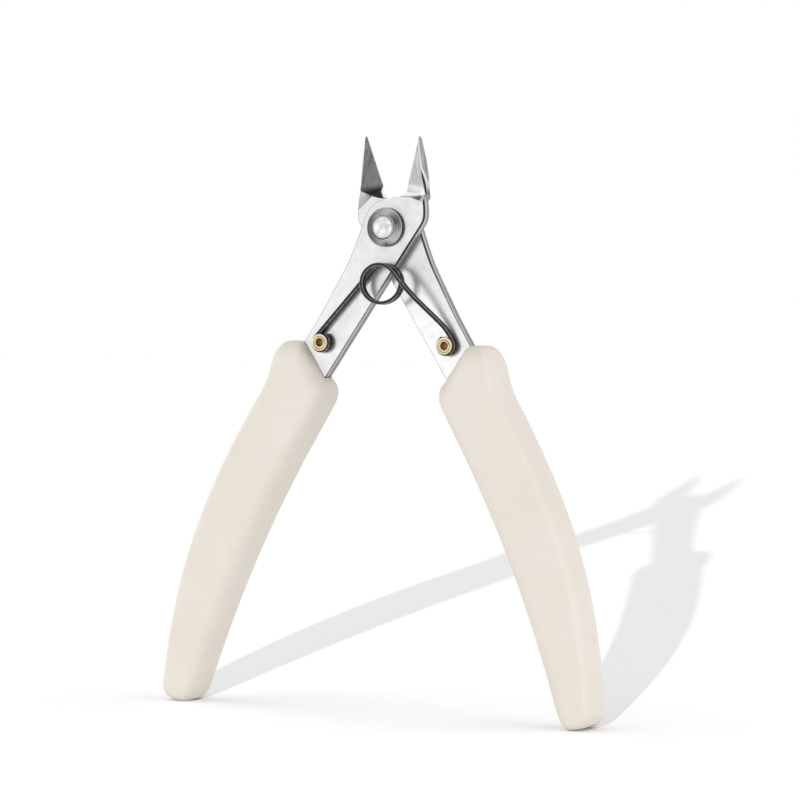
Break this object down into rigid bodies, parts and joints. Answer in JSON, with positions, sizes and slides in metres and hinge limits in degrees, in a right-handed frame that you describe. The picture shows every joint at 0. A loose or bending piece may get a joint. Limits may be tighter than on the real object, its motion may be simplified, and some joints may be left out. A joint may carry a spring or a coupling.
{
  "type": "flush cutter",
  "caption": "Small flush cutter for electronics: crossed sheet-steel halves on a riveted pivot, a flat return spring on two hollow posts, and moulded grips.",
  "frame": {"origin": "middle of the bottom of the bounding box, level with the ends of the grips", "axes": "+Z from the grips up to the jaws, +X to the right and +Y away from the side with the rivet collar, so that the jaws open in the XZ plane"},
  "size_m": [0.0978, 0.0156, 0.1209],
  "materials": {
    "steel": "satin, blasted and plated, with ground jaws",
    "rivet": "turned and riveted, bright",
    "collar": "turned, dark",
    "spring": "black oxide",
    "post": "turned, bright",
    "grip": "moulded, fine matte texture"
  },
  "bodies": {
    "front": {"front_half": "steel", "left_grip": "grip", "left_spring_post": "post", "pivot_rivet": "rivet", "rivet_collar": "collar", "return_spring": "spring"},
    "back": {"back_half": "steel", "right_grip": "grip", "right_spring_post": "post"}
  },
  "joints": [
    {"name": "pivot", "type": "hinge", "parent": "front", "child": "back", "pos_m": [0, 0, 0.1017], "axis": [0, 1, 0], "range_deg": [0, 34], "stiffness_Nm_per_rad": 0.35, "deforming": ["return_spring"]}
  ]
}
